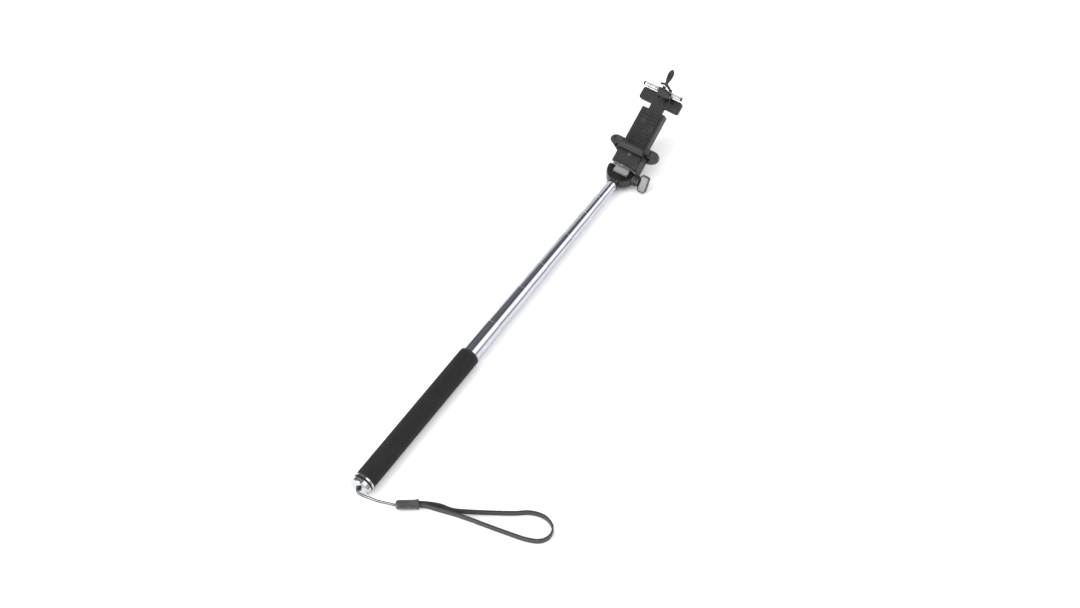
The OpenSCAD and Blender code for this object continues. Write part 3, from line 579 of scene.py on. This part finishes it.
def make_spring():
    """Two close-wound coils with their legs, and the bridge over the hook that moves with the lever."""
    bm = bmesh.new()
    for start, end, turns, ends in ((5.4, 17.7, 14, (17.8, 17.8, 17.8, 17.8, 17.8)),
                                    (-10.18, -18.1, 9, (-18.3, -19, -19.6, -19.9, -20))):
        leg = [about_axle(up, out, y) for (up, out), y in zip(
            ((0.55, -3.4), (-0.3, -6.6), (-0.85, -9.9), (-1.7, -11.1), (-7, -11.2)), ends)]
        coil = helix(start, end, turns, 20)
        line = coil + evenly(spline([coil[-1]] + leg, 6), 0.4 * MM)[1:]
        sweep(bm, line, lambda i, s: circle(WIRE_R * MM, 10))
    coils = add_object("spring_coils", bm, CLAMP)
    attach(coils, "carriage")
    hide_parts("jaw_spring")
    bm = bmesh.new()
    bridge = [about_axle(*p) for p in ((1.8, 0.2, 5.4), (1.9, 1.7, 5.38), (2.5, 3.1, 4.8), (3.7, 3.7, 3.3),
                                       (4.5, 3.75, 1.3), (4.25, 3.75, -0.8), (2.9, 3.7, -3), (1.4, 3.6, -5.3),
                                       (0.75, 3.4, -7.3), (0.9, 3, -9), (1.5, 1.9, -10), (1.8, 0.2, -10.18))]
    sweep(bm, evenly(spline(bridge, 8), 0.3 * MM), lambda i, s: circle(WIRE_R * MM, 12))
    over = add_object("spring_bridge", bm, CLAMP)
    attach(over, "lever")
    for piece in (coils, over):
        dress(piece, "spring_steel")


make_spring()


# ---------- moulded pieces with soft edges ----------

def mould(name, node, body, slot, voxel=0.2, passes=5, shape=None):
    """The CAD piece again with its edges and inner corners rounded, as it leaves a mould."""
    bm = bmesh.new()
    bm.from_mesh(nodes[node].data)
    bmesh.ops.remove_doubles(bm, verts=bm.verts, dist=1e-7)
    piece = add_object(name, bm)
    remesh = piece.modifiers.new("remesh", "REMESH")
    remesh.mode, remesh.voxel_size = "VOXEL", voxel * MM
    smooth = piece.modifiers.new("smooth", "SMOOTH")
    smooth.factor, smooth.iterations = 0.5, passes
    bpy.context.view_layer.update()
    made = bpy.data.meshes.new_from_object(piece.evaluated_get(bpy.context.evaluated_depsgraph_get()))
    piece.modifiers.clear()
    piece.data = made
    for vertex in made.vertices:
        if shape:
            vertex.co = CLAMP @ (shape(CLAMP_BACK @ vertex.co / MM) * MM)
    for polygon in made.polygons:
        polygon.use_smooth = True
    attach(piece, body)
    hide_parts(node)
    dress(piece, slot)
    return piece


def thumb_rest(p):
    """The lever's paddle, dished in front and thinner towards its edge."""
    up, y = p.x - AXLE_S, p.y - 0.7 - 0.035 * (p.x - AXLE_S - 7)
    fade = max(0, min(1, (up - 8) / 4))
    dish = 0.75 * math.exp(-((up - 16) / 3.6) ** 2 - (y / 1.5) ** 2)
    edge = 0.55 * min(1, (y / 2.8) ** 2 + ((up - 15) / 7.2) ** 4)
    out = p.z - AXLE_N
    out -= math.copysign(edge, out) * fade if abs(out) > edge else out * fade
    if out > 0:
        out -= dish * fade
    return Vector((p.x, p.y, AXLE_N + out))


CLAMP_BACK = CLAMP.inverted()
mould("upper_jaw_moulded", "upper_jaw", "lever", "jaw_plastic", 0.18, 4, thumb_rest)
mould("lower_jaw_moulded", "lower_jaw", "clamp", "jaw_plastic", 0.2, 3)


# ---------- floor and light ----------

def make_world():
    """A pale studio, bright on one side of the stick and dark on the other, for stripes in the chrome."""
    world = bpy.data.worlds.new("studio")
    bpy.context.scene.world = world
    world.use_nodes = True
    tree = world.node_tree
    background = next(n for n in tree.nodes if n.type == "BACKGROUND")
    where = tree.nodes.new("ShaderNodeTexCoord").outputs["Generated"]
    parts = tree.nodes.new("ShaderNodeSeparateXYZ")
    tree.links.new(where, parts.inputs[0])
    angle = tree.nodes.new("ShaderNodeMath")
    angle.operation = "ARCTAN2"
    tree.links.new(parts.outputs[1], angle.inputs[0])
    tree.links.new(parts.outputs[2], angle.inputs[1])
    place = tree.nodes.new("ShaderNodeMapRange")
    place.inputs["From Min"].default_value, place.inputs["From Max"].default_value = -math.pi, math.pi
    tree.links.new(angle.outputs[0], place.inputs["Value"])
    ramp = tree.nodes.new("ShaderNodeValToRGB")
    stops = [(-180, 1), (-100, 1), (-86, 0.85), (-80, 0.55), (-70, 0.6), (-62, 1.3), (-54, 2), (-19, 2),
             (-14, 0.5), (-8, 0.2), (12, 0.18), (30, 0.23), (46, 0.27), (64, 0.18), (86, 0.12), (100, 0.3),
             (120, 0.8), (180, 0.9)]
    elements = ramp.color_ramp.elements
    while len(elements) < len(stops):
        elements.new(0.5)
    for element, (degrees, value) in zip(elements, stops):
        element.position = (degrees + 180) / 360
        element.color = (value / 2, value / 2, value / 2 * 1.01, 1)
    tree.links.new(place.outputs[0], ramp.inputs[0])
    ahead = tree.nodes.new("ShaderNodeMapRange")
    ahead.interpolation_type = "SMOOTHSTEP"
    ahead.inputs["From Min"].default_value, ahead.inputs["From Max"].default_value = 0.1, 0.4
    tree.links.new(parts.outputs[0], ahead.inputs["Value"])
    # a pale screen low on the left, which only the far end of the stick reflects
    edge = tree.nodes.new("ShaderNodeMapRange")
    for socket, number in zip(("From Min", "From Max", "To Min", "To Max"),
                              (0.45, 0.57, math.radians(96), math.radians(24))):
        edge.inputs[socket].default_value = number
    tree.links.new(parts.outputs[0], edge.inputs["Value"])
    past = tree.nodes.new("ShaderNodeMath")
    past.operation = "SUBTRACT"
    tree.links.new(angle.outputs[0], past.inputs[0])
    tree.links.new(edge.outputs[0], past.inputs[1])
    screen = tree.nodes.new("ShaderNodeMapRange")
    screen.interpolation_type = "SMOOTHSTEP"
    screen.inputs["From Min"].default_value, screen.inputs["From Max"].default_value = -0.12, 0.16
    tree.links.new(past.outputs[0], screen.inputs["Value"])
    lit = tree.nodes.new("ShaderNodeMix")
    lit.data_type = "RGBA"
    lit.inputs[7].default_value = (0.5, 0.5, 0.505, 1)
    tree.links.new(screen.outputs[0], lit.inputs[0])
    tree.links.new(ramp.outputs[0], lit.inputs[6])
    mix = tree.nodes.new("ShaderNodeMix")
    mix.data_type = "RGBA"
    mix.inputs[6].default_value = (0.4, 0.4, 0.404, 1)
    tree.links.new(ahead.outputs[0], mix.inputs[0])
    tree.links.new(lit.outputs[2], mix.inputs[7])
    tree.links.new(mix.outputs[2], background.inputs[0])
    background.inputs[1].default_value = 2


def area_light(name, at, size, watts, towards=(0, 0, 0), glossy=True):
    data = bpy.data.lights.new(name, "AREA")
    data.shape, data.size, data.size_y, data.energy = "RECTANGLE", size[0], size[1], watts
    light = bpy.data.objects.new(name, data)
    light.location = at
    light.rotation_euler = (Vector(towards) - Vector(at)).to_track_quat("-Z", "Y").to_euler()
    light.visible_glossy = glossy
    bpy.context.collection.objects.link(light)


def make_floor():
    bm = bmesh.new()
    bmesh.ops.create_grid(bm, x_segments=1, y_segments=1, size=4)
    floor = add_object("floor", bm, Matrix.Translation((0, 0, -0.0002)), smooth=False)
    p = Paint("floor_paper")
    shade = p.noise(3, 2)
    floor.data.materials.append(p.finish(p.mix(p.span(shade, 0.3, 0.7), (0.9, 0.9, 0.9), (0.92, 0.92, 0.92)),
                                         p.span(shade, 0.3, 0.7, 0.8, 0.9)))


make_world()
make_floor()
area_light("softbox", tuple(PIVOT + Vector((-0.36, 0.32, 0.88)) * 1.6), (0.6, 0.6), 4.2, tuple(PIVOT))
area_light("low_left", tuple(PIVOT + Vector((-0.9, 0.32, 0.28)) * 1.5), (0.45, 0.6), 9, tuple(PIVOT))
area_light("strip", tuple(PIVOT + Vector((-0.757, 0.318, 0.571)) * 1.5), (0.5, 0.11), 2.6, tuple(PIVOT))
area_light("sky", (0, 0, 2.6), (4, 4), 62, glossy=False)
bpy.context.scene.view_settings.view_transform = "Standard"
